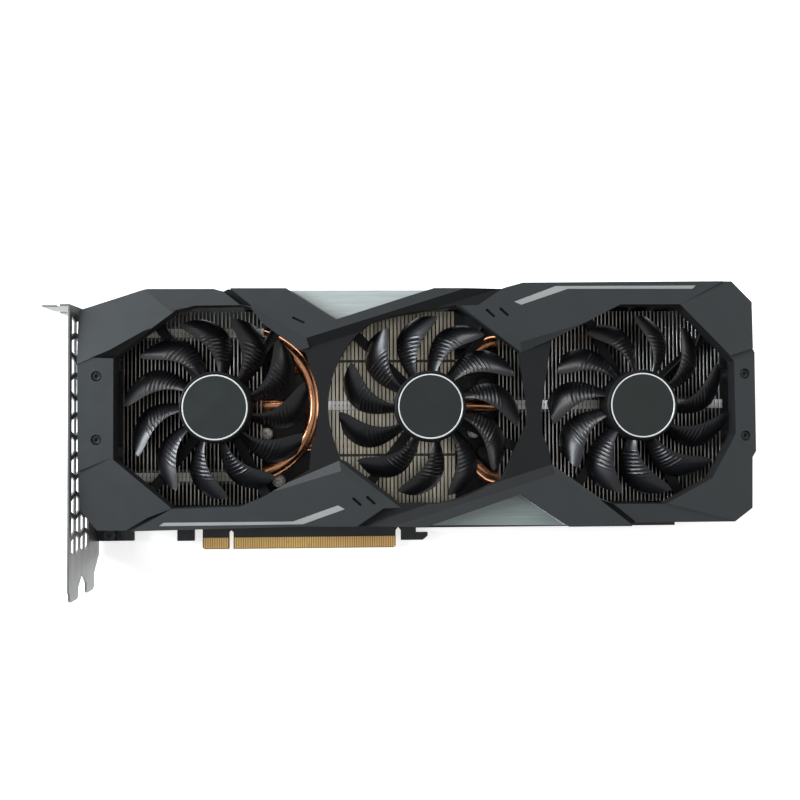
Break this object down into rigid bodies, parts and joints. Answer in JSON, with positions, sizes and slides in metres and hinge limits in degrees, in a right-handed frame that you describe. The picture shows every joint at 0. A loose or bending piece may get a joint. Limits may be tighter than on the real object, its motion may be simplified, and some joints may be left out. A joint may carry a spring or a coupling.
{
  "type": "graphics card",
  "caption": "Long two-slot graphics card with three axial fans under an angular shroud, finned heatsink with copper pipes, steel bracket, backplate and gold edge connector.",
  "frame": {"origin": "middle of the card's footprint, on the plane of the backplate's outer face that the card rests on", "axes": "+X along the card from the bracket to its free end, +Y from the edge connector to the power sockets, +Z from the backplate to the fans"},
  "size_m": [0.2916, 0.129, 0.0398],
  "materials": {
    "board": "matte black solder mask",
    "gold": "bright gold plate",
    "substrate": "satin green laminate",
    "silicon": "polished grey die",
    "chip_plastic": "matt moulded epoxy",
    "choke_body": "pressed ferrite",
    "can_metal": "bright can",
    "ceramic_parts": "ceramic with tinned ends",
    "steel_shell": "plated sheet",
    "black_plastic": "fine moulded grain",
    "bracket_steel": "satin grey plated sheet",
    "screw_steel": "bright plated",
    "backplate_metal": "satin black anodised sheet with a fine brushed grain",
    "black_screw": "black oxide",
    "shroud_plastic": "satin slate-grey moulded plastic, fine grain",
    "trim_light": "satin light silver-grey",
    "trim_mid": "satin mid grey",
    "accent_silver": "satin silver lacquer",
    "fin_metal": "rolled bright aluminium",
    "copper": "bare drawn copper with a satin surface",
    "thermal_pad": "soft matt silicone",
    "lead_sleeve": "satin black insulation",
    "white_plastic": "natural nylon",
    "winding": "enamelled copper wire",
    "bronze": "sintered bronze",
    "fan_plastic": "glossy black moulded plastic",
    "label_face": "dark label with a plain silver ring",
    "magnet": "bonded ferrite"
  },
  "bodies": {
    "card": {"pcb": "board", "edge_contacts": "gold", "gpu_substrate": "substrate", "gpu_die": "silicon", "memory_chips": "chip_plastic", "power_stages": "chip_plastic", "chokes": "choke_body", "capacitors": "can_metal", "small_components": "ceramic_parts", "control_chips": "chip_plastic", "display_port_shells": "steel_shell", "hdmi_shell": "steel_shell", "display_inserts": "black_plastic", "power_sockets": "black_plastic", "power_pins": "gold", "io_bracket": "bracket_steel", "bracket_screws": "screw_steel", "backplate": "backplate_metal", "backplate_screws": "black_screw", "spring_screws": "screw_steel", "mount_springs": "screw_steel", "shroud": "shroud_plastic", "upper_trim_panel": "trim_light", "lower_trim_panel": "trim_mid", "accent_strips": "accent_silver", "shroud_screws": "black_screw", "fan_screws": "black_screw", "heatsink_base": "fin_metal", "cold_plate": "copper", "fin_stack_left": "fin_metal", "fin_stack_middle": "fin_metal", "fin_stack_right": "fin_metal", "heat_pipe_1": "copper", "heat_pipe_2": "copper", "heat_pipe_3": "copper", "heat_pipe_4": "copper", "thermal_pads": "thermal_pad", "fan_leads": "lead_sleeve", "fan_plugs": "white_plastic", "left_fan_mount": "black_plastic", "left_fan_stator": "winding", "left_fan_bearing": "bronze", "middle_fan_mount": "black_plastic", "middle_fan_stator": "winding", "middle_fan_bearing": "bronze", "right_fan_mount": "black_plastic", "right_fan_stator": "winding", "right_fan_bearing": "bronze"},
    "left_fan": {"left_fan_rotor": "fan_plastic", "left_fan_label": "label_face", "left_fan_shaft": "screw_steel", "left_fan_magnet": "magnet"},
    "middle_fan": {"middle_fan_rotor": "fan_plastic", "middle_fan_label": "label_face", "middle_fan_shaft": "screw_steel", "middle_fan_magnet": "magnet"},
    "right_fan": {"right_fan_rotor": "fan_plastic", "right_fan_label": "label_face", "right_fan_shaft": "screw_steel", "right_fan_magnet": "magnet"}
  },
  "joints": [
    {"name": "left_fan_spin", "type": "hinge", "parent": "card", "child": "left_fan", "pos_m": [-0.07598, 0.01354, 0.03], "axis": [0, 0, 1], "continuous": true},
    {"name": "middle_fan_spin", "type": "hinge", "parent": "card", "child": "middle_fan", "pos_m": [0.01162, 0.01354, 0.03], "axis": [0, 0, 1], "continuous": true},
    {"name": "right_fan_spin", "type": "hinge", "parent": "card", "child": "right_fan", "pos_m": [0.09921, 0.01354, 0.03], "axis": [0, 0, 1], "continuous": true}
  ]
}
